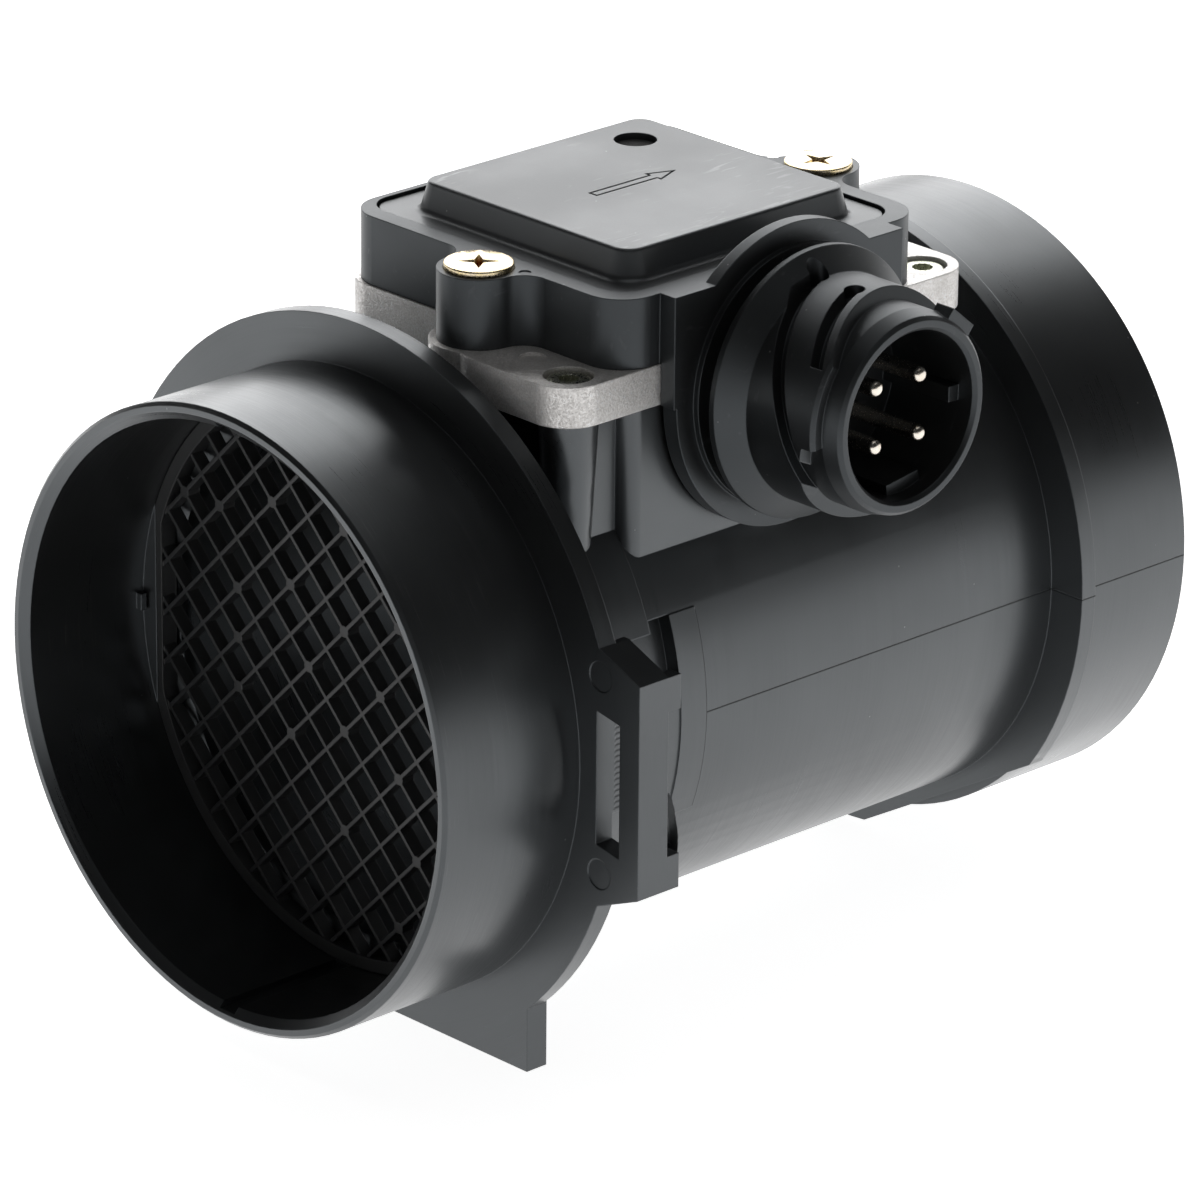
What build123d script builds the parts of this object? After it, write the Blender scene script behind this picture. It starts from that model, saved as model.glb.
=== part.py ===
from build123d import *
import os
from math import cos, radians, sin, sqrt

# Mass airflow sensor: a moulded duct along X, air entering at x = 0, with an
# electronics module on top whose plug socket points to -Y.

# Small gaps between pieces that fit together
fit_gap = 0.1
loose_gap = 0.3
through = 1.0

# Duct, as radii about the X axis
tube_r = 39.9
duct_wall = 3.5
inlet_rise = 3.3
inlet_wall = 2.5
rim_face_wall = 1.3
rim_chamfer = 1.1
inlet_length = 23.6
tube_end_x = 115.4
front_band_rise = 0.3
front_band_end_x = 40.9
outlet_rise = 3.4
outlet_wall = 2.7
duct_length = 139.0
outlet_cone_length = 6.0
edge_round = 0.5

# Stop ring at the root of the outlet, with one flat
stop_ring_rise = 5.8
stop_ring_width = 2.6
stop_flat_rise = 2.0
stop_flat_angle = 240.0

# Inlet flange with its standing foot
flange_rise = 10.1
flange_thickness = 2.9
foot_thickness = 3.5
foot_half_width = 33.5
foot_rise = 6.3
foot_corner_height = 16.0

# Keyways in the inlet bore
keyway_width = 3.0
keyway_depth = 0.8

# Clip ears on the flange, the -Y one given and the other mirrored
ear_rise = 14.3
ear_root_rise = 6.8
ear_half_height = 14.9
ear_root_half_height = 18.0
ear_depth = 5.2
ear_wall = 2.0
ear_lip_depth = 2.1
ear_lip_height = 4.8
ear_slot_rise = 6.4
ear_slot_width = 4.3
ear_slot_half_height = 9.3
ear_slot_slant = 0.8
pin_mark_r = 2.1
pin_mark_depth = 0.15
pin_mark_rise = 7.0
upper_mark_z = 14.2
lower_mark_z = -13.4
clip_pocket_start_x = 31.0
clip_pocket_step_x = 41.2
clip_pocket_end_x = 44.8
clip_pocket_half_height = 14.3
clip_pocket_step = 1.5
clip_pocket_depth = 2.0
slide_patch_width = 4.7
slide_patch_rise = 0.2

# Module pad on top of the duct
module_x = 67.0
pad_half_x = 26.1
pad_front_y = -33.5
pad_back_y = 19.2
pad_rise = 2.4
pad_corner_r = 2.5
pad_wall = 2.8
screw_post_r = 4.0
screw_post_draft = 1.0
screw_post_draft_z = 18.0
screw_post_web = 4.0
core_pocket_back_y = -15.0
core_rib = 3.0

# Flow grid
grid_front_x = 21.0
grid_depth = 2.6
grid_ring_wall = 2.0
grid_pitch = 5.06
grid_strip = 0.55
grid_strip_depth = 2.0
grid_flat_depth = 2.7
grid_flat_wall = 1.1
grid_pad_r = 0.85
# Crossings with a round pad, counted from the middle along both strip directions
grid_pads = (
    (0, -3), (0, 3), (3, 0), (-3, 0), (1, 1), (-1, -1), (1, -1), (-1, 1),
    (-3, 3), (3, -3), (3, 3), (-3, -3), (1, -5), (-1, 5), (-2, -4), (2, 4),
    (-4, -2), (4, 2), (-1, -6), (1, 6), (-2, -7), (2, 7), (-3, 6), (3, -6),
)
grid_snap_width = 2.4
grid_snap_height = 0.9
grid_snap_angles = (-90.0, 30.0, 150.0)

# Die-cast base plate
plate_thickness = 5.6
plate_half_x = 37.8
plate_narrow_half_x = 28.4
plate_front_y = -34.0
plate_back_y = 20.4
plate_lug_r = 6.6
plate_corner_r = 5.5
plate_screw_half_x = 32.6
plate_screw_y = -29.1
rear_lug_y = 26.0
rear_lug_r = 6.5
plate_recess_r = 3.35
plate_recess_depth = 2.3
cast_mark_xy = (35.6, -21.0)
cast_mark_r = 1.9
cast_mark_depth = 0.3

# Screws that hold the plate to the duct
torx_head_r = 3.0
torx_head_height = 1.9
torx_shank_r = 1.9
torx_length = 14.0
torx_socket_r = 1.5
torx_socket_depth = 1.3
pilot_extra = 1.0

# Electronics housing
housing_half_x = 28.1
housing_front_y = -33.8
housing_back_y = 19.5
housing_corner_r = 5.5
housing_height = 9.7
opening_half_x = 25.3
opening_front_y = -31.3
opening_back_y = 18.6
opening_corner_r = 4.0
seal_inset = 0.7
seal_width = 1.1
seal_height = 0.8
lid_seat_depth = 2.6
ledge_width = 1.4
boss_half_x = 31.2
boss_y = -10.4
boss_r = 5.6
boss_blend_r = 3.5
ejector_marks_xy = ((38.7, -16.1), (96.0, -3.9))
ejector_mark_r = 0.8

# Screws that hold the housing to the plate
phillips_head_r = 4.65
phillips_head_height = 0.75
phillips_cone_height = 2.2
phillips_shank_r = 1.9
phillips_length = 13.0
phillips_cross_length = 4.6
phillips_cross_width = 0.9
phillips_cross_depth = 1.6

# Lid
lid_gap = 0.4
lid_flange_thickness = 1.8
lid_flange_drop = 0.4
plateau_half_x = 21.4
plateau_half_y = 21.1
plateau_height = 4.1
plateau_slope = 16.0
plateau_corner_r = 3.6
plateau_foot_r = 1.0
lid_wall = 1.8
lid_centre_y = -7.0
vent_r = 2.95
vent_x = 79.6
vent_y = 6.0
vent_depth = 1.3
membrane_thickness = 0.4
arrow_length = 15.4
arrow_width = 3.4
arrow_line = 0.35
arrow_depth = 0.2

# Plug socket, along -Y, as radii about its own axis
socket_x = 67.5
socket_drop = 5.7
socket_block_r = 20.9
socket_block_front_y = -36.6
socket_crown_back_y = -34.7
socket_collar_r = 17.9
socket_collar_y = -37.5
socket_neck_r = 15.4
socket_disc_back_y = -40.2
socket_disc_r = 18.6
socket_disc_front_y = -41.1
socket_cone_end_y = -44.0
ramp_crest_r = 15.6
ramp_end_y = -56.2
socket_root_r = 13.9
socket_mouth_r = 13.4
socket_mouth_y = -59.0
socket_bore_r = 11.5
socket_floor_y = -44.0
socket_mouth_chamfer = 0.5
ramp_lead = 6.2
ramp_mid_angle = 155.0
ramp_start_angle = 97.0
ramp_sweep = 125.0
groove_width = 2.0
groove_end_width = 2.8
first_groove_y = -48.4
second_groove_y = -55.0
second_groove_sweep = 50.0
crest_front_y = -57.4
key_back_off = 3.0
# Keys inside the mouth: angle, width, height
keys = ((97.0, 2.2, 1.6), (-1.0, 2.2, 1.8), (278.0, 6.0, 1.8), (185.0, 2.2, 1.2))
coding_tab_width = 5.0
coding_tab_height = 1.4
coding_tab_length = 3.0
coding_tab_angle = 50.0

# Terminals
pin_pitch = 8.1
pin_r = 1.15
pin_tip_y = -56.8
upper_bend_y = -39.5
lower_bend_y = -36.5
pin_tail_r = 0.6
pin_tail_rise = 3.3
pin_tail_spacing = 3.0
pin_tail_end_y = -21.5

# Sensing parts in the duct
sensor_length = 28.0
sensor_width = 11.0
sensor_hole_gap = 0.4
sensor_tip_z = -6.0
sensor_tip_r = 1.5
channel_width = 6.6
channel_height = 12.0
channel_z = 5.0
channel_flare = 1.4
gasket_width = 1.6
gasket_height = 1.3
gasket_offset = 2.2
element_thickness = 0.6
element_height = 7.0
hot_element_length = 6.0
cold_element_length = 4.0
element_spacing = 9.0
lead_r = 0.3
lead_spacing = 1.8
lead_stub = 0.5
insulator_length = 17.0
insulator_width = 5.0

# Circuit board and what it carries
board_thickness = 0.8
board_half_x = 19.5
board_front_y = -25.0
board_back_y = 10.5
chip_dx = -1.0
chip_y = -12.0
chip_size = 7.0
chip_height = 1.4
driver_dx = -12.5
driver_y = -2.0
driver_length = 6.0
driver_width = 8.0
driver_height = 2.2
capacitor_dx = 12.0
capacitor_y = -16.0
capacitor_pitch = 4.0
capacitor_count = 4
capacitor_length = 3.2
capacitor_width = 1.8
capacitor_height = 1.6
resistor_dx = -10.0
resistor_y = -17.0
resistor_length = 5.0
resistor_width = 2.5
resistor_height = 0.5

# Radii and places worked out from the sizes above
duct_bore_r = tube_r - duct_wall
front_band_r = tube_r + front_band_rise
inlet_r = tube_r + inlet_rise
inlet_bore_r = inlet_r - inlet_wall
rim_face_r = inlet_r - rim_face_wall
outlet_r = tube_r + outlet_rise
outlet_bore_r = outlet_r - outlet_wall
stop_ring_r = tube_r + stop_ring_rise
stop_flat_distance = tube_r + stop_flat_rise
flange_r = tube_r + flange_rise
foot_z = -tube_r - foot_rise
ear_y = tube_r + ear_rise
ear_root_y = tube_r + ear_root_rise
ear_slot_inner_y = tube_r + ear_slot_rise
pin_mark_y = tube_r + pin_mark_rise
grid_ring_inner_r = inlet_bore_r - grid_ring_wall
grid_flat_y = inlet_bore_r - grid_flat_depth
pad_top_z = tube_r + pad_rise
plate_bottom_z = pad_top_z
plate_top_z = plate_bottom_z + plate_thickness
rim_z = plate_top_z + housing_height
socket_z = plate_top_z - socket_drop
screw_post_base_z = pad_top_z - screw_post_draft_z
lid_seat_z = rim_z - lid_seat_depth
flange_back_x = inlet_length + flange_thickness
board_top_z = plate_top_z + board_thickness
pin_tail_z = plate_top_z + pin_tail_rise
rear_lug_x = module_x
plate_screws_xy = (
    (module_x - plate_screw_half_x, plate_screw_y),
    (module_x + plate_screw_half_x, plate_screw_y),
    (rear_lug_x, rear_lug_y),
)
housing_screws_xy = (
    (module_x - boss_half_x, boss_y),
    (module_x + boss_half_x, boss_y),
)
lid_foot_reach = plateau_half_x + plateau_foot_r
hot_element_x = module_x - element_spacing / 2
cold_element_x = module_x + element_spacing / 2
element_top_z = channel_z + element_height / 2
leads_x = (
    hot_element_x - lead_spacing / 2,
    hot_element_x + lead_spacing / 2,
    cold_element_x - lead_spacing / 2,
    cold_element_x + lead_spacing / 2,
)


def turned(points):
    """A solid of revolution about X from (x, radius) corners."""
    return revolve(make_face(Polyline(*points, close=True)), Axis.X, 360)


def block(x0, x1, y0, y1, z0, z1):
    """A box given by its faces."""
    centre = ((x0 + x1) / 2, (y0 + y1) / 2, (z0 + z1) / 2)
    return Pos(*centre) * Box(x1 - x0, y1 - y0, z1 - z0)


def upright(outline, z0, z1):
    """A sketch raised from z0 to z1."""
    return Pos(0, 0, z0) * extrude(outline, z1 - z0)


def post(x, y, radius, z0, z1):
    """A round post along Z."""
    return Pos(x, y, (z0 + z1) / 2) * Cylinder(radius, z1 - z0)


def rod_x(radius, x0, x1):
    """A round bar along the duct axis."""
    return Pos((x0 + x1) / 2, 0, 0) * Rot(0, 90, 0) * Cylinder(radius, x1 - x0)


def rod_y(radius, y_back, y_front, x=socket_x, z=socket_z):
    """A round bar along Y, by default on the socket axis."""
    middle = (y_back + y_front) / 2
    return Pos(x, middle, z) * Rot(90, 0, 0) * Cylinder(radius, abs(y_back - y_front))


def rounded_rectangle(half_x, y0, y1, radius):
    """A rounded rectangle centred on the module in X."""
    shape = RectangleRounded(2 * half_x, y1 - y0, radius)
    return Pos(module_x, (y0 + y1) / 2) * shape


def mirrored_y(solid):
    """The solid and its mirror image on the other side of the duct."""
    return solid + mirror(solid, about=Plane.XZ)


# Duct


def duct_outside():
    """Spigots, flange, tube and stop ring turned in one profile."""
    ring_end_x = tube_end_x + stop_ring_width
    points = [
        (0, 0),
        (0, inlet_r - edge_round),
        (edge_round, inlet_r),
        (inlet_length, inlet_r),
        (inlet_length, flange_r),
        (flange_back_x, flange_r),
        (flange_back_x, front_band_r),
        (front_band_end_x, front_band_r),
        (front_band_end_x, tube_r),
        (tube_end_x, tube_r),
        (tube_end_x, stop_ring_r),
        (ring_end_x, stop_ring_r),
        (ring_end_x, outlet_r),
        (duct_length - edge_round, outlet_r),
        (duct_length, outlet_r - edge_round),
        (duct_length, 0),
    ]
    return turned(points)


def duct_inside():
    """The air way: inlet bore, grid seat, rounded neck, duct and outlet bore."""
    seat_x = grid_front_x + grid_depth
    neck = grid_ring_inner_r - duct_bore_r
    cone_start_x = tube_end_x - edge_round
    points = [
        (-through, 0),
        (-through, rim_face_r),
        (0, rim_face_r),
        (rim_chamfer, inlet_bore_r),
        (seat_x, inlet_bore_r),
        (seat_x, grid_ring_inner_r),
        (seat_x + neck * 0.3, duct_bore_r + neck * 0.3),
        (seat_x + neck, duct_bore_r),
        (cone_start_x, duct_bore_r),
        (cone_start_x + outlet_cone_length, outlet_bore_r),
        (duct_length + through, outlet_bore_r),
        (duct_length + through, 0),
    ]
    return turned(points)


def foot():
    """The squared lower corners of the flange, on which the sensor stands."""
    return block(
        inlet_length,
        inlet_length + foot_thickness,
        -foot_half_width,
        foot_half_width,
        foot_z,
        foot_z + foot_corner_height,
    )


def below_foot():
    """What the flat of the foot takes off the round flange."""
    return block(
        inlet_length - through,
        flange_back_x + through,
        -flange_r,
        flange_r,
        -flange_r - through,
        foot_z,
    )


def ear():
    """One spring-clip ear: a box open at the back, with lips at both ends."""
    back_x = inlet_length + ear_depth
    lip_x = back_x + ear_lip_depth
    corners = [
        (-ear_root_y + through, ear_root_half_height),
        (-ear_root_y, ear_root_half_height),
        (-ear_y, ear_half_height),
        (-ear_y, -ear_half_height),
        (-ear_root_y, -ear_root_half_height),
        (-ear_root_y + through, -ear_root_half_height),
    ]
    outline = make_face(Polyline(*corners, close=True))
    body = Pos(inlet_length, 0, 0) * extrude(Plane.YZ * outline, ear_depth)
    inside = Plane.YZ * (Pos(ear_wall, 0) * scale(outline, (1, 1 - ear_wall / ear_half_height, 1)))
    body -= Pos(flange_back_x, 0, 0) * extrude(inside, ear_depth)
    for z0 in (ear_half_height - ear_lip_height, -ear_half_height):
        body += block(
            back_x,
            lip_x,
            -ear_y,
            -ear_y + ear_wall,
            z0,
            z0 + ear_lip_height,
        )
    return body


def ear_slot():
    """The slanted slot through an ear's front wall."""
    inner = -ear_slot_inner_y
    outer = inner - ear_slot_width
    corners = [
        (inner, ear_slot_half_height),
        (outer, ear_slot_half_height - ear_slot_slant),
        (outer, -ear_slot_half_height - ear_slot_slant),
        (inner, -ear_slot_half_height),
    ]
    outline = Plane.YZ * make_face(Polyline(*corners, close=True))
    length = flange_thickness + 2 * through
    return Pos(inlet_length - through, 0, 0) * extrude(outline, length)


def ejector_marks():
    """Shallow round marks on the ear's front face."""
    marks = []
    for z in (upper_mark_z, lower_mark_z):
        disc = Rot(0, 90, 0) * Cylinder(pin_mark_r, 2 * pin_mark_depth)
        marks.append(Pos(inlet_length, -pin_mark_y, z) * disc)
    return marks


def clip_pocket():
    """The stepped recess in the tube wall behind an ear."""
    shell = rod_x(tube_r + through, clip_pocket_start_x, clip_pocket_end_x)
    shell -= rod_x(tube_r - clip_pocket_depth, clip_pocket_start_x, clip_pocket_end_x)
    top = clip_pocket_half_height
    front = -tube_r - 2 * through
    high = block(clip_pocket_step_x, clip_pocket_end_x, front, 0, -top, top)
    top -= clip_pocket_step
    low = block(clip_pocket_start_x, clip_pocket_step_x, front, 0, -top, top)
    return shell & (high + low)


def slide_patch():
    """The slightly proud field that the mould slide leaves beside a pocket."""
    end_x = clip_pocket_end_x + slide_patch_width
    shell = rod_x(tube_r + slide_patch_rise, clip_pocket_end_x, end_x)
    side = block(
        clip_pocket_end_x,
        end_x,
        -tube_r - through,
        -duct_bore_r + through,
        -clip_pocket_half_height,
        clip_pocket_half_height,
    )
    return shell & side


def module_pad():
    """The flat-topped pad with rounded corners and the three screw posts."""
    outline = rounded_rectangle(pad_half_x, pad_front_y, pad_back_y, pad_corner_r)
    pad = upright(outline, 0, pad_top_z)
    length = pad_top_z - screw_post_base_z
    drafted = Cone(screw_post_r - screw_post_draft, screw_post_r, length)
    for x, y in plate_screws_xy:
        pad += Pos(x, y, screw_post_base_z + length / 2) * drafted
    front_y = plate_screw_y - screw_post_web / 2
    web = block(
        module_x - plate_screw_half_x,
        module_x + plate_screw_half_x,
        front_y,
        front_y + screw_post_web,
        screw_post_base_z,
        pad_top_z,
    )
    return pad + web


def core_pockets():
    """Two pockets that keep the thick front side of the pad an even wall."""
    width = pad_half_x - pad_wall - core_rib / 2
    pockets = []
    for side in (-1, 1):
        middle = module_x + side * (core_rib / 2 + width / 2)
        pocket = block(
            middle - width / 2,
            middle + width / 2,
            pad_front_y + pad_wall,
            core_pocket_back_y,
            0,
            pad_top_z + through,
        )
        pockets.append(pocket - rod_x(tube_r, 0, duct_length))
    return pockets


def sensor_hole():
    """The hole for the measuring body, in the pad and the duct wall."""
    length = sensor_length + 2 * sensor_hole_gap
    width = sensor_width + 2 * sensor_hole_gap
    outline = Pos(module_x, 0) * SlotOverall(length, width)
    return upright(outline, 0, pad_top_z + through)


def gasket_ring(gap):
    """The gasket's racetrack, larger by gap on both sides."""
    inner = sensor_hole_gap + gasket_offset - gap
    outer = sensor_hole_gap + gasket_offset + gasket_width + gap
    hole = SlotOverall(sensor_length + 2 * inner, sensor_width + 2 * inner)
    rim = SlotOverall(sensor_length + 2 * outer, sensor_width + 2 * outer)
    depth = gasket_height + gap
    return upright(Pos(module_x, 0) * (rim - hole), pad_top_z - depth, pad_top_z)


def stop_flat():
    """The flat that is cut on the stop ring."""
    cut = block(
        tube_end_x,
        tube_end_x + stop_ring_width,
        stop_flat_distance,
        stop_ring_r + through,
        -stop_ring_r,
        stop_ring_r,
    )
    return Rot(stop_flat_angle, 0, 0) * cut


def keyways():
    """Grooves along the inlet bore at its top and bottom."""
    grooves = []
    for side in (-1, 1):
        far = side * (inlet_bore_r + keyway_depth)
        near = side * (inlet_bore_r - through)
        grooves.append(
            block(
                -through,
                grid_front_x,
                -keyway_width / 2,
                keyway_width / 2,
                min(far, near),
                max(far, near),
            )
        )
    return grooves


def grid_key():
    """The flat in the grid's seat that lets the grid in one way round only."""
    seat_end_x = grid_front_x + grid_depth
    filling = rod_x(inlet_bore_r + through, grid_front_x, seat_end_x)
    return filling & beyond_flat(grid_flat_y, grid_front_x, seat_end_x)


def grid_snaps():
    """Four small noses in the bore that hold the grid in its seat."""
    noses = []
    depth = inlet_bore_r - grid_ring_inner_r
    for angle in grid_snap_angles:
        nose = block(
            grid_front_x - loose_gap - grid_snap_height,
            grid_front_x - loose_gap,
            -grid_snap_width / 2,
            grid_snap_width / 2,
            inlet_bore_r - depth / 2,
            inlet_bore_r + through,
        )
        noses.append(Rot(angle, 0, 0) * nose)
    return noses


def tube_housing():
    """The duct, one moulding."""
    body = duct_outside() + foot() + module_pad()
    body -= below_foot()
    body += mirrored_y(ear())
    body += mirrored_y(slide_patch())
    body -= duct_inside()
    body += grid_key()
    body += grid_snaps()
    body -= mirrored_y(ear_slot())
    body -= mirrored_y(clip_pocket())
    for mark in ejector_marks():
        body -= mirrored_y(mark)
    body -= stop_flat()
    body -= keyways()
    body -= core_pockets()
    body -= sensor_hole()
    body -= gasket_ring(fit_gap)
    bore_depth = torx_length - plate_thickness + plate_recess_depth + pilot_extra
    for x, y in plate_screws_xy:
        body -= post(x, y, torx_shank_r, pad_top_z - bore_depth, pad_top_z + through)
    return body


# Flow grid


def grid_strips(direction):
    """One family of parallel strips across the duct."""
    count = int(grid_ring_inner_r / grid_pitch)
    front = grid_front_x + (grid_depth - grid_strip_depth) / 2
    reach = grid_ring_inner_r + fit_gap
    strips = []
    for step in range(-count, count + 1):
        offset = step * grid_pitch
        strip = block(
            front,
            front + grid_strip_depth,
            offset - grid_strip / 2,
            offset + grid_strip / 2,
            -reach,
            reach,
        )
        strips.append(Rot(direction, 0, 0) * strip)
    return strips


def pad_posts():
    """The round pads on some of the grid's crossings."""
    front = grid_front_x + (grid_depth - grid_strip_depth) / 2
    pads = []
    for row, column in grid_pads:
        y = -(row + column) * grid_pitch / sqrt(2)
        z = (row - column) * grid_pitch / sqrt(2)
        pads.append(Pos(0, y, z) * rod_x(grid_pad_r, front, front + grid_strip_depth))
    return pads


def beyond_flat(distance, x0, x1):
    """All that lies on the +Y side of a flat that keys the grid in its seat."""
    reach = inlet_r
    return block(x0, x1, distance, reach, -reach, reach)


def flow_grid():
    """The flow straightener: a diamond lattice in a ring, one moulding."""
    seat_r = inlet_bore_r - fit_gap
    back_x = grid_front_x + grid_depth
    flat_y = grid_flat_y - fit_gap
    window = rod_x(grid_ring_inner_r, grid_front_x, back_x)
    window -= beyond_flat(flat_y - grid_flat_wall, grid_front_x, back_x)
    ring = rod_x(seat_r, grid_front_x, back_x) - window
    ring -= beyond_flat(flat_y, grid_front_x, back_x)
    lattice = Part() + grid_strips(45) + grid_strips(-45) + pad_posts()
    within = rod_x(grid_ring_inner_r + fit_gap, grid_front_x, back_x)
    within -= beyond_flat(flat_y - grid_flat_wall + fit_gap, grid_front_x, back_x)
    return ring + (lattice & within)


# Base plate


def plate_outline():
    """Wide from the housing screws forward, narrow behind, one lug at the back."""
    wide = rounded_rectangle(plate_half_x, plate_front_y, boss_y, plate_corner_r)
    lugs = [Pos(x, y) * Circle(plate_lug_r) for x, y in housing_screws_xy]
    bridge = Pos(module_x, boss_y) * Rectangle(2 * boss_half_x, 2 * plate_lug_r)
    narrow = rounded_rectangle(
        plate_narrow_half_x, plate_front_y, plate_back_y, plate_corner_r
    )
    lug = Pos(rear_lug_x, rear_lug_y) * Circle(rear_lug_r)
    web_depth = rear_lug_y - plate_back_y + plate_corner_r
    web = Pos(rear_lug_x, rear_lug_y - web_depth / 2) * Rectangle(2 * rear_lug_r, web_depth)
    return wide + bridge + narrow + lug + web + lugs


def base_plate():
    """The die-cast aluminium plate that carries the circuit and seals the hole."""
    plate = upright(plate_outline(), plate_bottom_z, plate_top_z)
    for x, y in plate_screws_xy:
        plate -= post(x, y, torx_shank_r + fit_gap, plate_bottom_z, plate_top_z)
        recess_z = plate_top_z - plate_recess_depth
        plate -= post(x, y, plate_recess_r, recess_z, plate_top_z)
    for x, y in housing_screws_xy:
        plate -= post(x, y, phillips_shank_r, plate_bottom_z, plate_top_z)
    x, y = cast_mark_xy
    plate -= Pos(x, y, plate_top_z) * Cylinder(cast_mark_r, 2 * cast_mark_depth)
    return plate - insulator_block(fit_gap)


def plate_gasket():
    """The rubber ring between plate and duct."""
    return gasket_ring(0)


def torx_screw(x, y):
    """A round-headed screw with a socket, standing in the plate's recess."""
    seat_z = plate_top_z - plate_recess_depth
    head = post(x, y, torx_head_r, seat_z, seat_z + torx_head_height)
    head = fillet(head.edges().sort_by(Axis.Z)[-1], edge_round)
    shank = post(x, y, torx_shank_r - fit_gap, seat_z - torx_length, seat_z)
    socket_z0 = seat_z + torx_head_height - torx_socket_depth
    socket = RegularPolygon(torx_socket_r, 6) + Rot(0, 0, 30) * RegularPolygon(
        torx_socket_r, 6
    )
    socket = Pos(x, y) * socket
    return head + shank - upright(socket, socket_z0, plate_top_z)


def plate_screws():
    """The three screws of the plate."""
    return Compound([torx_screw(x, y) for x, y in plate_screws_xy])


# Electronics housing


def housing_outline():
    """The module's plan, with a screw boss blended into each end wall."""
    plan = rounded_rectangle(
        housing_half_x, housing_front_y, housing_back_y, housing_corner_r
    )
    for x, y in housing_screws_xy:
        plan += Pos(x, y) * Circle(boss_r)
    corners = []
    wall_x = (module_x - housing_half_x, module_x + housing_half_x)
    for corner in plan.vertices():
        near_wall = min(abs(corner.X - x) for x in wall_x) < fit_gap
        if near_wall and abs(corner.Y - boss_y) < boss_r:
            corners.append(corner)
    return fillet(corners, boss_blend_r)


def inset_rectangle(inset):
    """The housing's plan without bosses, smaller by inset."""
    return rounded_rectangle(
        housing_half_x - inset,
        housing_front_y + inset,
        housing_back_y - inset,
        housing_corner_r - inset,
    )


def lid_opening(inset=0):
    """The housing's opening for the lid, smaller by inset."""
    return rounded_rectangle(
        opening_half_x - inset,
        opening_front_y + inset,
        opening_back_y - inset,
        opening_corner_r - inset,
    )


def socket_block():
    """The flat block behind the socket, round below, with a crown above the rim."""
    back_y = housing_front_y - loose_gap
    round_part = rod_y(socket_block_r, back_y, socket_block_front_y)
    square_part = block(
        module_x - socket_block_r,
        module_x + socket_block_r,
        socket_block_front_y,
        back_y,
        socket_z,
        rim_z,
    )
    above = block(
        module_x - socket_block_r,
        module_x + socket_block_r,
        socket_crown_back_y,
        back_y + through,
        rim_z,
        socket_z + socket_block_r + through,
    )
    bridge = block(
        module_x - socket_block_r,
        module_x + socket_block_r,
        back_y - through,
        housing_front_y + through,
        plate_top_z,
        rim_z,
    )
    return round_part + square_part + bridge - above


def ramp_plane(y_middle, turn):
    """A tilted plane whose cut on the shell climbs like a coupling ramp."""
    phase = radians(ramp_mid_angle + turn)
    slope = ramp_lead / ramp_crest_r
    # On the shell the plane's Y falls with the sine of the angle past the middle.
    normal = (-slope * sin(phase), 1, slope * cos(phase))
    return Plane(origin=(socket_x, y_middle, socket_z), z_dir=normal)


def sector(turn, start, sweep):
    """A wedge about the socket axis, from start over sweep degrees."""
    reach = 2 * socket_disc_r
    middle = start + turn + sweep / 2
    span = [middle - sweep / 2, middle - sweep / 4, middle, middle + sweep / 4, middle + sweep / 2]
    points = [(socket_x, socket_z)]
    for angle in span:
        x = socket_x + reach * cos(radians(angle))
        points.append((x, socket_z + reach * sin(radians(angle))))
    outline = Plane.XZ * make_face(Polyline(*points, close=True))
    return Pos(0, socket_cone_end_y + through, 0) * extrude(outline, -2 * socket_mouth_y)


def ramp_groove(y_middle, turn, sweep):
    """One slanted groove in the socket shell, round at its upper end."""
    disc = ramp_plane(y_middle, turn) * Cylinder(2 * socket_disc_r, groove_width)
    start_y = y_middle - ramp_lead * sin(radians(ramp_start_angle - ramp_mid_angle))
    end = Pos(socket_disc_r, start_y, 0) * Rot(0, 90, 0) * Cylinder(
        groove_end_width / 2, socket_disc_r
    )
    end = Rot(0, -ramp_start_angle - turn, 0) * end
    band = disc & sector(turn, ramp_start_angle, sweep)
    return band + Pos(socket_x, 0, socket_z) * end


def socket_shell():
    """The round shell of the socket with its collar, disc and coupling ramps."""
    profile = [
        (0, socket_block_front_y + through),
        (socket_collar_r, socket_block_front_y + through),
        (socket_collar_r, socket_collar_y),
        (socket_neck_r, socket_collar_y),
        (socket_neck_r, socket_disc_back_y),
        (socket_disc_r, socket_disc_back_y),
        (socket_disc_r, socket_disc_front_y),
        (ramp_crest_r, socket_cone_end_y),
        (ramp_crest_r, ramp_end_y + edge_round),
        (ramp_crest_r - edge_round, ramp_end_y),
        (socket_root_r, ramp_end_y),
        (socket_mouth_r, socket_mouth_y + edge_round),
        (socket_mouth_r - edge_round, socket_mouth_y),
        (0, socket_mouth_y),
    ]
    shell = revolve(make_face(Polyline(*profile, close=True)), Axis.Y, 360)
    cuts = Part()
    for turn in (0, 180):
        cuts += ramp_groove(first_groove_y, turn, ramp_sweep)
        cuts += ramp_groove(second_groove_y, turn, second_groove_sweep)
        front = ramp_plane(crest_front_y, turn) * Pos(0, 0, -socket_disc_r / 2)
        nose = front * Cylinder(2 * socket_disc_r, socket_disc_r)
        cuts += nose & sector(turn, ramp_start_angle - 90, 180)
    core_profile = [
        (0, socket_cone_end_y + 2 * through),
        (socket_root_r, socket_cone_end_y + 2 * through),
        (socket_root_r, ramp_end_y),
        (socket_mouth_r, socket_mouth_y),
        (0, socket_mouth_y - through),
    ]
    core = revolve(make_face(Polyline(*core_profile, close=True)), Axis.Y, 360)
    place = Pos(socket_x, 0, socket_z)
    return place * shell - (cuts - place * core)


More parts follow.
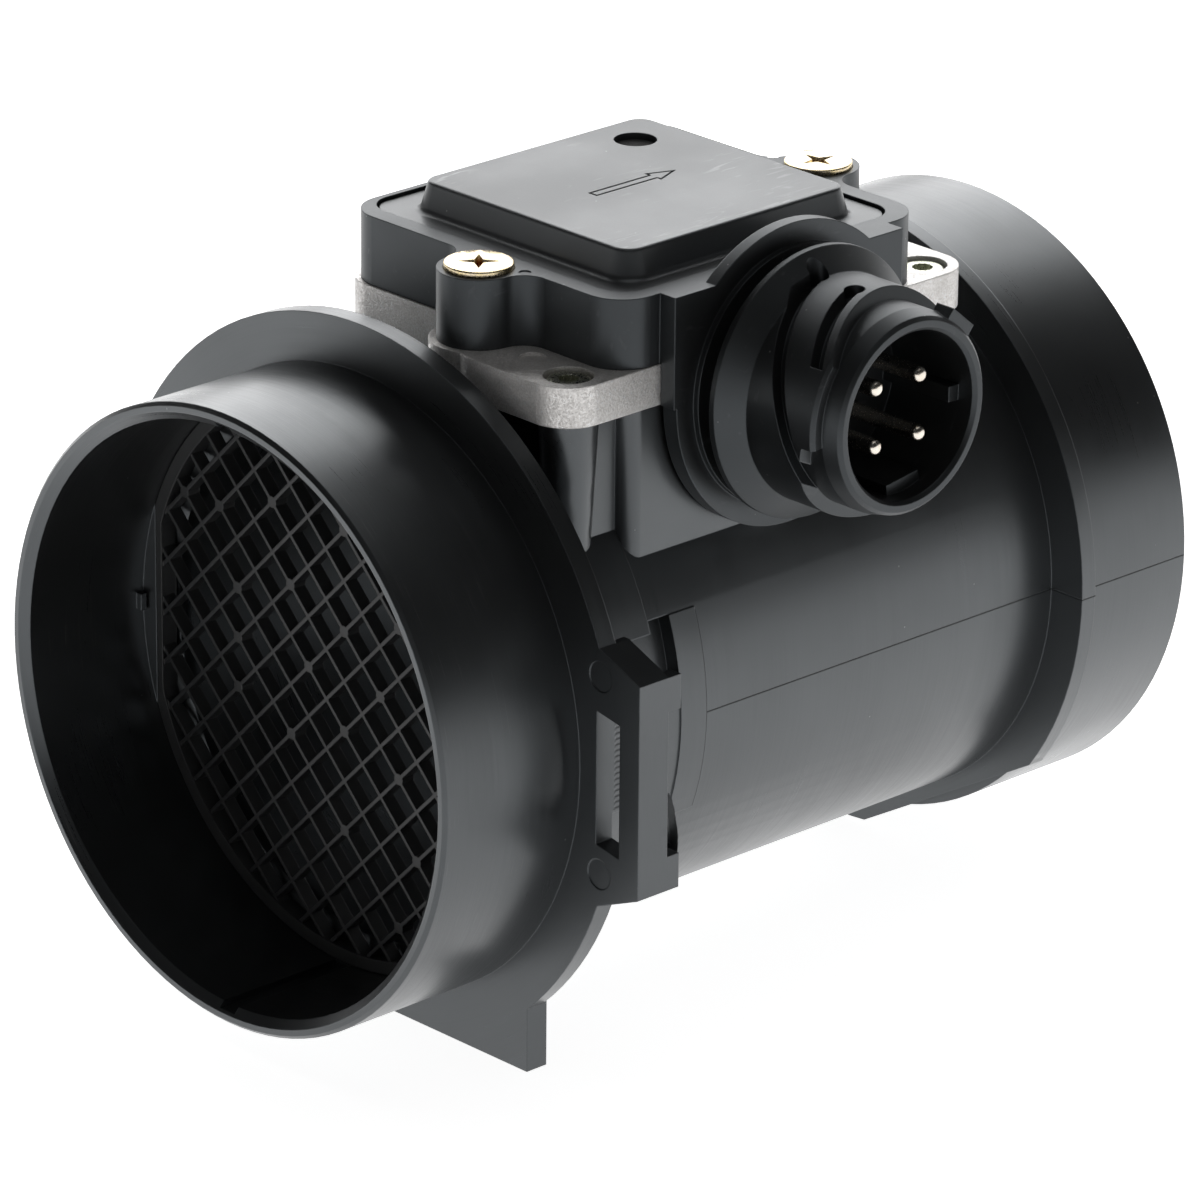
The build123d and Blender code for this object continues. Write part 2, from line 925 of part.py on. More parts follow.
def socket_keys():
    """Keys along the inside of the socket."""
    bars = []
    back_y = socket_floor_y - fit_gap + through
    front_y = socket_mouth_y + key_back_off
    place = Pos(socket_x, 0, socket_z)
    for angle, width, height in keys:
        bar = block(
            socket_bore_r - height,
            socket_bore_r + through,
            front_y,
            back_y,
            -width / 2,
            width / 2,
        )
        bars.append(place * Rot(0, -angle, 0) * bar)
    return bars


def coding_tab():
    """The raised tab beside the socket's mouth."""
    tab = block(
        socket_mouth_r - through,
        socket_mouth_r + coding_tab_height,
        socket_mouth_y + edge_round,
        socket_mouth_y + edge_round + coding_tab_length,
        -coding_tab_width / 2,
        coding_tab_width / 2,
    )
    return Pos(socket_x, 0, socket_z) * Rot(0, -coding_tab_angle, 0) * tab


def pin_places():
    """The four pins: X and Z of the pin, Y of its bend, X of its tail."""
    places = []
    for x_side in (-1, 1):
        x = socket_x + x_side * pin_pitch / 2
        outer_tail = module_x + x_side * pin_tail_spacing * 1.5
        inner_tail = module_x + x_side * pin_tail_spacing / 2
        places.append((x, socket_z - pin_pitch / 2, lower_bend_y, outer_tail))
        places.append((x, socket_z + pin_pitch / 2, upper_bend_y, inner_tail))
    return places


def electronics_housing():
    """The module's frame, with the socket moulded on."""
    frame = upright(housing_outline(), plate_top_z, rim_z)
    frame += socket_block()
    frame -= upright(lid_opening(), lid_seat_z, rim_z + through)
    frame -= upright(
        lid_opening(ledge_width), plate_top_z - through, rim_z
    )
    frame += socket_shell() + coding_tab()
    frame -= rod_y(socket_bore_r, socket_floor_y, socket_mouth_y - through)
    frame += socket_keys()
    seal_r = socket_bore_r
    mouth = Pos(socket_x, socket_mouth_y, socket_z) * Rot(90, 0, 0) * Cone(
        seal_r, seal_r + 2 * socket_mouth_chamfer, 2 * socket_mouth_chamfer
    )
    frame -= mouth
    for x, y in housing_screws_xy:
        frame -= housing_screw_space(x, y, fit_gap)
    for x, y in ejector_marks_xy:
        frame -= Pos(x, y, rim_z) * Cylinder(ejector_mark_r, 2 * pin_mark_depth)
    frame -= seal_ring(fit_gap)
    for place in pin_places():
        frame -= terminal_solid(place, fit_gap)
    return frame


def seal_ring(gap):
    """The bead under the frame, wider by gap on both sides."""
    outer = inset_rectangle(seal_inset - gap)
    inner = inset_rectangle(seal_inset + seal_width + gap)
    return upright(outer - inner, plate_top_z, plate_top_z + seal_height)


def housing_seal():
    """The bead of sealant between frame and plate."""
    return seal_ring(0)


def housing_screw_space(x, y, gap):
    """The space of a countersunk screw, larger by gap."""
    cone = Cone(phillips_shank_r + gap, phillips_head_r + gap, phillips_cone_height)
    space = Pos(x, y, rim_z - phillips_cone_height / 2) * cone
    return space + post(x, y, phillips_shank_r + gap, plate_top_z - through, rim_z + through)


def housing_screw(x, y):
    """A countersunk cross-head screw, its thin edge proud of the boss."""
    top_z = rim_z + phillips_head_height
    head = post(x, y, phillips_head_r, rim_z, top_z)
    head = fillet(head.edges().sort_by(Axis.Z)[-1], phillips_head_height / 3)
    cone = Cone(phillips_shank_r, phillips_head_r, phillips_cone_height)
    screw = head + Pos(x, y, rim_z - phillips_cone_height / 2) * cone
    shank_r = phillips_shank_r - fit_gap
    screw += post(x, y, shank_r, top_z - phillips_length, rim_z - phillips_cone_height)
    for turn in (0, 90):
        arm = Box(phillips_cross_length, phillips_cross_width, 2 * phillips_cross_depth)
        screw -= Pos(x, y, top_z) * Rot(0, 0, turn) * arm
    return screw


def housing_screws():
    """The two screws of the housing."""
    return Compound([housing_screw(x, y) for x, y in housing_screws_xy])


# Lid


def plateau(half_x, half_y, z0, height, radius):
    """The raised field of the lid, sloping inwards all round."""
    foot_plan = RectangleRounded(2 * half_x, 2 * half_y, radius)
    field = extrude(Pos(module_x, lid_centre_y) * foot_plan, height, taper=plateau_slope)
    return Pos(0, 0, z0) * field


def flow_arrow(z):
    """A plain outlined arrow that points downstream."""
    tail = arrow_length * 0.72
    half = arrow_width / 2
    points = [
        (-arrow_length / 2, half / 2),
        (-arrow_length / 2 + tail, half / 2),
        (-arrow_length / 2 + tail, half),
        (arrow_length / 2, 0),
        (-arrow_length / 2 + tail, -half),
        (-arrow_length / 2 + tail, -half / 2),
        (-arrow_length / 2, -half / 2),
    ]
    outside = make_face(Polyline(*points, close=True))
    outline = outside - offset(outside, -arrow_line)
    return upright(Pos(module_x, lid_centre_y) * outline, z - arrow_depth, z + through)


def lid():
    """The lid: a flange in the housing's seat and a hollow raised field."""
    flange_top_z = rim_z - lid_flange_drop
    flange_z = flange_top_z - lid_flange_thickness
    flange = upright(lid_opening(lid_gap), flange_z, flange_top_z)
    top_z = flange_top_z + plateau_height
    body = flange + plateau(
        plateau_half_x, plateau_half_y, flange_top_z, plateau_height, plateau_corner_r
    )
    body = fillet(body.edges().group_by(Axis.Z)[-1], edge_round)
    foot_edges = body.edges().filter_by_position(Axis.Z, flange_top_z, flange_top_z)
    foot_edges = foot_edges.filter_by(lambda edge: abs(edge.center().X - module_x) < lid_foot_reach)
    foot_edges = foot_edges.filter_by(lambda edge: abs(edge.center().Y - lid_centre_y) < lid_foot_reach)
    body = fillet(foot_edges, plateau_foot_r)
    body -= plateau(
        plateau_half_x - lid_wall,
        plateau_half_y - lid_wall,
        flange_z,
        top_z - lid_wall - flange_z,
        plateau_corner_r / 2,
    )
    body -= post(vent_x, vent_y, vent_r, top_z - vent_depth, top_z + through)
    body -= post(vent_x, vent_y, vent_r / 2, flange_z, top_z)
    return body - flow_arrow(top_z)


def vent_membrane():
    """The disc that lets the module breathe, in the lid's round recess."""
    top_z = rim_z - lid_flange_drop + plateau_height
    floor_z = top_z - vent_depth
    return post(vent_x, vent_y, vent_r - fit_gap, floor_z, floor_z + membrane_thickness)


def lid_seal():
    """The bead that bonds the lid's flange to its seat."""
    flange_z = rim_z - lid_flange_drop - lid_flange_thickness
    outer = lid_opening(lid_gap)
    inner = lid_opening(ledge_width - fit_gap)
    return upright(outer - inner, lid_seat_z, flange_z)


# Terminals


def terminal_solid(place, gap):
    """A pin in the socket, bent up behind it, back, and down to the board."""
    pin_x, pin_z, bend_y, tail_x = place
    reach = pin_tail_r + gap
    body = rod_y(pin_r + gap, bend_y, pin_tip_y, pin_x, pin_z)
    if gap == 0:
        body = fillet(body.edges().sort_by(Axis.Y)[0], pin_r * 0.8)
    bars = (
        (pin_x, pin_x, bend_y, bend_y, pin_z, pin_tail_z),
        (pin_x, tail_x, bend_y, bend_y, pin_tail_z, pin_tail_z),
        (tail_x, tail_x, bend_y, pin_tail_end_y, pin_tail_z, pin_tail_z),
    )
    for x0, x1, y0, y1, z0, z1 in bars:
        x_low = min(x0, x1) - reach
        x_high = max(x0, x1) + reach
        body += block(x_low, x_high, y0 - reach, y1 + reach, z0 - reach, z1 + reach)
    foot_y0 = pin_tail_end_y - reach
    foot_y1 = pin_tail_end_y + reach
    foot_end = block(tail_x - reach, tail_x + reach, foot_y0, foot_y1, board_top_z, pin_tail_z)
    return body + foot_end


# Sensing parts


def lead_bores(z0, z1):
    """Bores for the four leads."""
    return [post(x, 0, lead_r + fit_gap, z0, z1) for x in leads_x]


def insulator_block(gap):
    """The block in the plate's window, larger by gap."""
    window = Rectangle(insulator_length + 2 * gap, insulator_width + 2 * gap)
    return upright(Pos(module_x, 0) * window, plate_bottom_z, plate_top_z)


def lead_insulator():
    """The block that keeps the leads off the plate."""
    return insulator_block(0) - lead_bores(plate_bottom_z, plate_top_z)


def sensor_channel():
    """The measuring channel along X, flared at both mouths."""
    half_length = sensor_length / 2
    channel = RectangleRounded(channel_width, channel_height, channel_width / 3)
    way = Plane.YZ * channel
    body = Pos(module_x - half_length, 0, channel_z) * extrude(way, sensor_length)
    grown = Plane.YZ * RectangleRounded(
        channel_width + 2 * channel_flare,
        channel_height + 2 * channel_flare,
        channel_width / 3 + channel_flare,
    )
    for side in (-1, 1):
        mouth_x = module_x + side * half_length
        mouth = loft([Pos(mouth_x, 0, channel_z) * grown, Pos(mouth_x - side * 2 * channel_flare, 0, channel_z) * way])
        body += mouth
    return body


def sensor_body():
    """The strut that hangs from the plate into the duct."""
    outline = Pos(module_x, 0) * SlotOverall(sensor_length, sensor_width)
    strut = upright(outline, sensor_tip_z, plate_bottom_z)
    strut = fillet(strut.edges().group_by(Axis.Z)[0], sensor_tip_r)
    return strut - sensor_channel() - lead_bores(element_top_z, plate_bottom_z)


def element(x, length):
    """A flat ceramic element in the middle of the channel."""
    half = element_thickness / 2
    z0 = element_top_z - element_height
    return block(x - length / 2, x + length / 2, -half, half, z0, element_top_z)


def sensor_leads():
    """Four wires from the elements up to the board."""
    top_z = board_top_z + lead_stub
    return Compound([post(x, 0, lead_r, element_top_z, top_z) for x in leads_x])


# Circuit board


def circuit_board():
    """The ceramic board glued on the plate."""
    board = block(
        module_x - board_half_x,
        module_x + board_half_x,
        board_front_y,
        board_back_y,
        plate_top_z,
        board_top_z,
    )
    return board - lead_bores(plate_top_z, board_top_z)


def on_board(dx, y, length, width, height):
    """A block that stands on the board, dx from the module's middle."""
    x = module_x + dx
    return block(
        x - length / 2,
        x + length / 2,
        y - width / 2,
        y + width / 2,
        board_top_z,
        board_top_z + height,
    )


def capacitors():
    """A row of chip capacitors."""
    row = []
    for step in range(capacitor_count):
        y = capacitor_y + step * capacitor_pitch
        row.append(
            on_board(capacitor_dx, y, capacitor_length, capacitor_width, capacitor_height)
        )
    return Compound(row)


def write(name, shape):
    """Writes one piece to its own file."""
    shape.label = name
    export_step(shape, "parts/" + name + ".step")


os.makedirs("parts", exist_ok=True)
write("tube_housing", tube_housing())
write("flow_grid", flow_grid())
write("plate_gasket", plate_gasket())
write("base_plate", base_plate())
write("plate_screws", plate_screws())
write("electronics_housing", electronics_housing())
write("housing_seal", housing_seal())
write("housing_screws", housing_screws())
write("lid", lid())
write("lid_seal", lid_seal())
write("vent_membrane", vent_membrane())
write("circuit_board", circuit_board())
write("control_chip", on_board(chip_dx, chip_y, chip_size, chip_size, chip_height))
write(
    "output_transistor",
    on_board(driver_dx, driver_y, driver_length, driver_width, driver_height),
)
write("capacitors", capacitors())
write(
    "resistor_network",
    on_board(resistor_dx, resistor_y, resistor_length, resistor_width, resistor_height),
)
for number, place in enumerate(pin_places(), 1):
    write("terminal_" + str(number), terminal_solid(place, 0))
write("sensor_body", sensor_body())
write("hot_film_element", element(hot_element_x, hot_element_length))
write("temperature_element", element(cold_element_x, cold_element_length))
write("sensor_leads", sensor_leads())
write("lead_insulator", lead_insulator())
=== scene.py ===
import bmesh
import bpy
from math import asin, cos, degrees, pi, radians, sin
from mathutils import Matrix, Vector


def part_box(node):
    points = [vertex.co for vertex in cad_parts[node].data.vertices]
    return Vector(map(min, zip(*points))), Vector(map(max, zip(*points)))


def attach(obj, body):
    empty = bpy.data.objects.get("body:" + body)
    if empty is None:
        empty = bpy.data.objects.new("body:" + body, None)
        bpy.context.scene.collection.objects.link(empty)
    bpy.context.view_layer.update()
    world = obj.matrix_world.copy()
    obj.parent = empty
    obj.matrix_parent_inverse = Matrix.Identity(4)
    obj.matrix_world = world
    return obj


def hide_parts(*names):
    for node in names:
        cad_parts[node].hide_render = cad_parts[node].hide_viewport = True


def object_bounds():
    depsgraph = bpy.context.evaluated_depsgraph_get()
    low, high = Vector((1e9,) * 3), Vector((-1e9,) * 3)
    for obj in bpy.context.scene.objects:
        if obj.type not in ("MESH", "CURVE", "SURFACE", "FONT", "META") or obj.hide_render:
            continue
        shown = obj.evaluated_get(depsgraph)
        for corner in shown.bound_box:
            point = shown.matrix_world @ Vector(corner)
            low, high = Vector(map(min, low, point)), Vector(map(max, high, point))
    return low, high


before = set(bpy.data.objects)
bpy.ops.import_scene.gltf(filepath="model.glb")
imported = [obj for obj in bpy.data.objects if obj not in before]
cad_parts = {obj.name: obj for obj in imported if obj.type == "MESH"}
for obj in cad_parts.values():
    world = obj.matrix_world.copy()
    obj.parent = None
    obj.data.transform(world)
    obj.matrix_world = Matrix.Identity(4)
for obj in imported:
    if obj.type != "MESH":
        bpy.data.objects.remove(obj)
cad_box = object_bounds()
mm = 0.001

# Camera: the photograph's place, for a square picture of 1200 x 1200
picture_px = 1200
focal_px = 7876.8
film_width = 36
camera_azimuth = radians(46.371)
camera_elevation = radians(21.599)
camera_roll = radians(0.536)
camera_distance = 1.072
camera_target = Vector((0.066066, -0.002113, 0.000378))
camera_reach = 20

# Studio
floor_size = 12
floor_colour = (0.92, 0.92, 0.92, 1)
horizon_brightness = 1.0
sky_brightness = 0.03
horizon_ends = -0.02
sky_starts = 0.2
floor_glow = 0.92
back_light_azimuth = 226
back_light_elevation = 30
back_light_distance = 1.3
back_light_size = (1.9, 1.0)
back_light_radiance = 2.6
top_light_azimuth = 100
top_light_elevation = 80
top_light_distance = 1.2
top_light_size = (0.9, 0.9)
top_light_radiance = 0.5
white = (1, 1, 1, 1)

# Places on the object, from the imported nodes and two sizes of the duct
plate_low, plate_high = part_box("base_plate")
screw_low, screw_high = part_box("housing_screws")
lid_top_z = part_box("lid")[1][2]
screw_top_z = screw_high[2]
plate_over_tube = 2.4 * mm
module_x = (plate_low[0] + plate_high[0]) / 2
tube_r = plate_low[2] - plate_over_tube
inlet_length = 23.6 * mm

# Meshes
merge_distance = 0.001 * mm
cut_merge_distance = 0.0001 * mm
smooth_angle = 32

# Rests and reliefs for the clips' legs beside the ears, in mm and in degrees about the duct's axis
step_degrees = 2
tube_mm = tube_r / mm
clip_recess = 2.0
fill_margin = 0.1
fill_inner_margin = 0.2
fill_outer_margin = 0.01
relief_reach = 3
clip_recess_start = 31.0
clip_recess_end = 44.8
clip_recess_bottom_z = 6.0
clip_fill_start = -22.4
relief_top_z = -10.5
relief_bottom_z = -23.5
relief_top_x = 44.3
relief_slant = 7.7 / 13.0
rest_start_x = 25.5
rest_end_x = 30.9
rest_outer_y = 46.3
rest_inner_y = 38.5
rest_bottom_z = -5.5
rest_top_z = 9.3

# Ribs on the rests' outer faces
grip_rib_pitch = 0.8 * mm
grip_rib_height = 0.06 * mm
grip_start_x = (26.7 * mm, 27.1 * mm)
grip_end_x = (rest_end_x * mm, (rest_end_x - 0.1) * mm)
grip_near_y = (-45 * mm, -45.5 * mm)
grip_far_y = (-46.6 * mm, -46.4 * mm)

# The moulding slide's mark on the tube, where the parting line starts
slide_mark_x = 49.5 * mm
slide_mark_half_height = (14.2 * mm, 13.8 * mm)
slide_mark_half_width = (0.16 * mm, 0.06 * mm)
parting_half_width = (0.14 * mm, 0.06 * mm)
parting_fade = 0.2 * mm
parting_side_y = (-0.9 * tube_r, -0.95 * tube_r)
mould_line_depth = 0.12 * mm

# Housing screws: the values that begin with cross are in mm and degrees
screw_head_r = 4.65 * mm
screw_half_x = (screw_high[0] - screw_low[0]) / 2 - screw_head_r
screw_y = (screw_low[1] + screw_high[1]) / 2
cross_points = 8
cross_clearance = 0.3
cross_r = 2.75
cross_waist_r = 0.85
cross_depth = 1.8
cross_taper = 0.35
cross_plug_r = 3.0
cross_plug_depth = 1.65
cross_plug_segments = 64
cross_turns = (47.0, -6.0)
# Depths and radii over which the cross recesses get their painted shade
recess_shade_depth = (0.15 * mm, 0.9 * mm)
recess_shade_r = (3.2 * mm, 2.9 * mm)

# Finishes
skin_roughness = 0.25
plastic_edge_r = 0.25 * mm
cast_edge_r = 0.3 * mm
plated_edge_r = 0.2 * mm
bevel_samples = 6

# Colours, linear
cool_sheen = (0.86, 0.94, 1.0, 1)
gold_zinc = (0.9, 0.74, 0.42, 1)
pale_gold_zinc = (0.8, 0.68, 0.5, 1)
# Painted shade: the dark brown that the screws' cross recesses are coloured, deeper in
painted_recess_shade_brown = (0.45, 0.2, 0.07, 1)
green_zinc = (0.6, 0.62, 0.5, 1)
pale_green_zinc = (0.7, 0.7, 0.62, 1)
tin = (0.86, 0.8, 0.72, 1)
worn_tin = (0.8, 0.72, 0.62, 1)
bright_wire = (0.75, 0.75, 0.75, 1)
dull_wire = (0.65, 0.65, 0.65, 1)
board_white = (0.8, 0.8, 0.75, 1)
element_white = (0.75, 0.76, 0.76, 1)
capacitor_brown = (0.45, 0.32, 0.2, 1)


def aim(object_, place, target, roll=0):
    """Stands an object at place, its -Z axis towards target."""
    back = (place - target).normalized()
    right = Vector((0, 0, 1)).cross(back).normalized()
    up = back.cross(right)
    side = right * cos(roll) + up * sin(roll)
    top = up * cos(roll) - right * sin(roll)
    matrix = Matrix((side, top, back)).transposed().to_4x4()
    matrix.translation = place
    object_.matrix_world = matrix


def direction(azimuth, elevation):
    """The unit vector that points back from a target to a viewer or lamp."""
    flat = -cos(elevation)
    return Vector((flat * cos(azimuth), flat * sin(azimuth), sin(elevation)))


def put(name, data):
    """A new object in the scene."""
    object_ = bpy.data.objects.new(name, data)
    bpy.context.scene.collection.objects.link(object_)
    return object_


def set_camera():
    """The camera, as the photograph was taken."""
    data = bpy.data.cameras.new("camera")
    data.sensor_width = film_width
    data.lens = focal_px / picture_px * film_width
    data.clip_end = camera_reach
    camera = put("camera", data)
    away = direction(camera_azimuth, camera_elevation)
    aim(camera, camera_target + away * camera_distance, camera_target, camera_roll)
    bpy.context.scene.camera = camera


def softbox(name, azimuth, elevation, distance, size, radiance):
    """A rectangular lamp of even brightness that faces the object."""
    width, height = size
    data = bpy.data.lights.new(name, "AREA")
    data.shape = "RECTANGLE"
    data.size = width
    data.size_y = height
    data.energy = radiance * pi * width * height
    lamp = put(name, data)
    away = direction(radians(azimuth), radians(elevation))
    aim(lamp, camera_target + away * distance, camera_target)
    lamp.visible_camera = False


def duct_point(side):
    """Points about the duct's axis on one side, by angle above level, radius and X."""
    def point(angle, radius, x):
        turn = radians(angle)
        return Vector((x * mm, side * radius * mm * cos(turn), radius * mm * sin(turn)))
    return point


def swept(section, start, sweep, point):
    """A solid whose section, pairs of radius and place from an angle, goes about an axis."""
    mesh = bmesh.new()
    count = max(2, round(sweep / step_degrees))
    rings = []
    for step in range(count + 1):
        angle = start + sweep * step / count
        rings.append([mesh.verts.new(point(angle, *pair)) for pair in section(angle)])
    size = len(rings[0])
    for first, second in zip(rings, rings[1:]):
        for i in range(size):
            j = (i + 1) % size
            mesh.faces.new((first[i], first[j], second[j], second[i]))
    mesh.faces.new(rings[0])
    mesh.faces.new(rings[-1][::-1])
    return solid_object(mesh)


def solid_object(mesh):
    """A closed mesh as an object of triangles, turned outwards."""
    bmesh.ops.triangulate(mesh, faces=mesh.faces)
    bmesh.ops.recalc_face_normals(mesh, faces=mesh.faces)
    data = bpy.data.meshes.new("solid")
    mesh.to_mesh(data)
    mesh.free()
    return put("solid", data)


def joined(piece, tools, operation):
    """Adds tools to the piece, or cuts them from it, and removes them."""
    for tool in tools:
        change = piece.modifiers.new("change", "BOOLEAN")
        change.operation = operation
        change.solver = "EXACT"
        change.object = tool
        made_plain(piece)
        mesh = bmesh.new()
        mesh.from_mesh(piece.data)
        bmesh.ops.remove_doubles(mesh, verts=mesh.verts, dist=cut_merge_distance)
        bmesh.ops.triangulate(mesh, faces=mesh.faces)
        mesh.to_mesh(piece.data)
        mesh.free()
        bpy.data.objects.remove(tool)


def made_plain(piece):
    """Turns a piece's modifiers into its mesh."""
    bpy.context.view_layer.update()
    seen = piece.evaluated_get(bpy.context.evaluated_depsgraph_get())
    data = bpy.data.meshes.new_from_object(seen)
    piece.modifiers.clear()
    piece.data = data


def merged_copy(node, name):
    """A new object from a CAD node's mesh, its loose triangles merged."""
    mesh = bmesh.new()
    mesh.from_mesh(bpy.data.objects[node].data)
    bmesh.ops.remove_doubles(mesh, verts=mesh.verts, dist=merge_distance)
    data = bpy.data.meshes.new(name)
    mesh.to_mesh(data)
    mesh.free()
    data.attributes.remove(data.attributes["custom_normal"])
    return put(name, data)


def stands_for(piece, node):
    """Shades a piece smooth but for its sharp edges and lets it stand for a CAD node."""
    mesh = bmesh.new()
    mesh.from_mesh(piece.data)
    bmesh.ops.remove_doubles(mesh, verts=mesh.verts, dist=merge_distance)
    mesh.to_mesh(piece.data)
    mesh.free()
    piece.data.shade_smooth()
    piece.data.set_sharp_from_angle(angle=radians(smooth_angle))
    weigh = piece.modifiers.new("weigh", "WEIGHTED_NORMAL")
    weigh.keep_sharp = True
    made_plain(piece)
    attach(piece, "root")
    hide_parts(node)


def box_solid(low, high):
    """A box between two corners in mm."""
    mesh = bmesh.new()
    bmesh.ops.create_cube(mesh, size=1)
    for vert in mesh.verts:
        vert.co = [mm * (a + (b - a) * (c + 0.5)) for a, b, c in zip(low, high, vert.co)]
    return solid_object(mesh)


def relief_section(angle):
    """The slanted relief in the tube's wall below a clip's rest."""
    z = tube_mm * sin(radians(angle))
    end = relief_top_x + (relief_top_z - z) * relief_slant
    inner = tube_mm - clip_recess
    outer = tube_mm + relief_reach
    return [(inner, clip_recess_start), (outer, clip_recess_start), (outer, end), (inner, end)]


def duct_with_clip_rests():
    """The duct's mesh with the rests for the clips' legs and their reliefs."""
    piece = merged_copy("tube_housing", "duct_with_clip_rests")
    fills = []
    reliefs = []
    inner = tube_mm - clip_recess - fill_inner_margin
    outer = tube_mm - fill_outer_margin
    start = clip_recess_start - fill_margin
    end = clip_recess_end + fill_margin
    top = degrees(asin(clip_recess_bottom_z / tube_mm))
    relief_start = degrees(asin(relief_bottom_z / tube_mm))
    relief_sweep = degrees(asin(relief_top_z / tube_mm)) - relief_start
    for side in (-1, 1):
        point = duct_point(side)
        fills.append(swept(
            lambda angle: [(inner, start), (outer, start), (outer, end), (inner, end)],
            clip_fill_start, top - clip_fill_start, point,
        ))
        rest = sorted((side * rest_outer_y, side * rest_inner_y))
        fills.append(box_solid(
            (rest_start_x, rest[0], rest_bottom_z), (rest_end_x, rest[1], rest_top_z)
        ))
        reliefs.append(swept(relief_section, relief_start, relief_sweep, point))
    joined(piece, fills, "UNION")
    joined(piece, reliefs, "DIFFERENCE")
    stands_for(piece, "tube_housing")
    return piece


def cross_cutter(x, y, top, turn):
    """A tapered cross with four pointed arms, for a screw's recess."""
    mesh = bmesh.new()
    rings = []
    for height, size in ((cross_clearance, 1.0), (0.0, 1.0), (-cross_depth, cross_taper)):
        verts = []
        for i in range(cross_points):
            reach = size * (cross_waist_r if i % 2 else cross_r) * mm
            angle = radians(360 / cross_points * i + turn)
            place = (x + reach * cos(angle), y + reach * sin(angle), top + height * mm)
            verts.append(mesh.verts.new(place))
        rings.append(verts)
    for first, second in zip(rings, rings[1:]):
        for i in range(cross_points):
            j = (i + 1) % cross_points
            mesh.faces.new((first[i], first[j], second[j], second[i]))
    mesh.faces.new(rings[0])
    mesh.faces.new(rings[-1][::-1])
    return solid_object(mesh)


def screws_with_cross_recess():
    """The housing screws' mesh with their cross recesses cut anew."""
    piece = merged_copy("housing_screws", "screws_with_cross_recess")
    plugs = []
    crosses = []
    for side, turn in zip((-1, 1), cross_turns):
        x = module_x + side * screw_half_x
        plug = bmesh.new()
        bmesh.ops.create_cone(
            plug, cap_ends=True, segments=cross_plug_segments,
            radius1=cross_plug_r * mm, radius2=cross_plug_r * mm, depth=cross_plug_depth * mm,
        )
        middle_z = screw_top_z - cross_plug_depth / 2 * mm
        bmesh.ops.translate(plug, verts=plug.verts, vec=(x, screw_y, middle_z))
        plugs.append(solid_object(plug))
        crosses.append(cross_cutter(x, screw_y, screw_top_z, turn))
    joined(piece, plugs, "UNION")
    joined(piece, crosses, "DIFFERENCE")
    stands_for(piece, "housing_screws")
    return piece


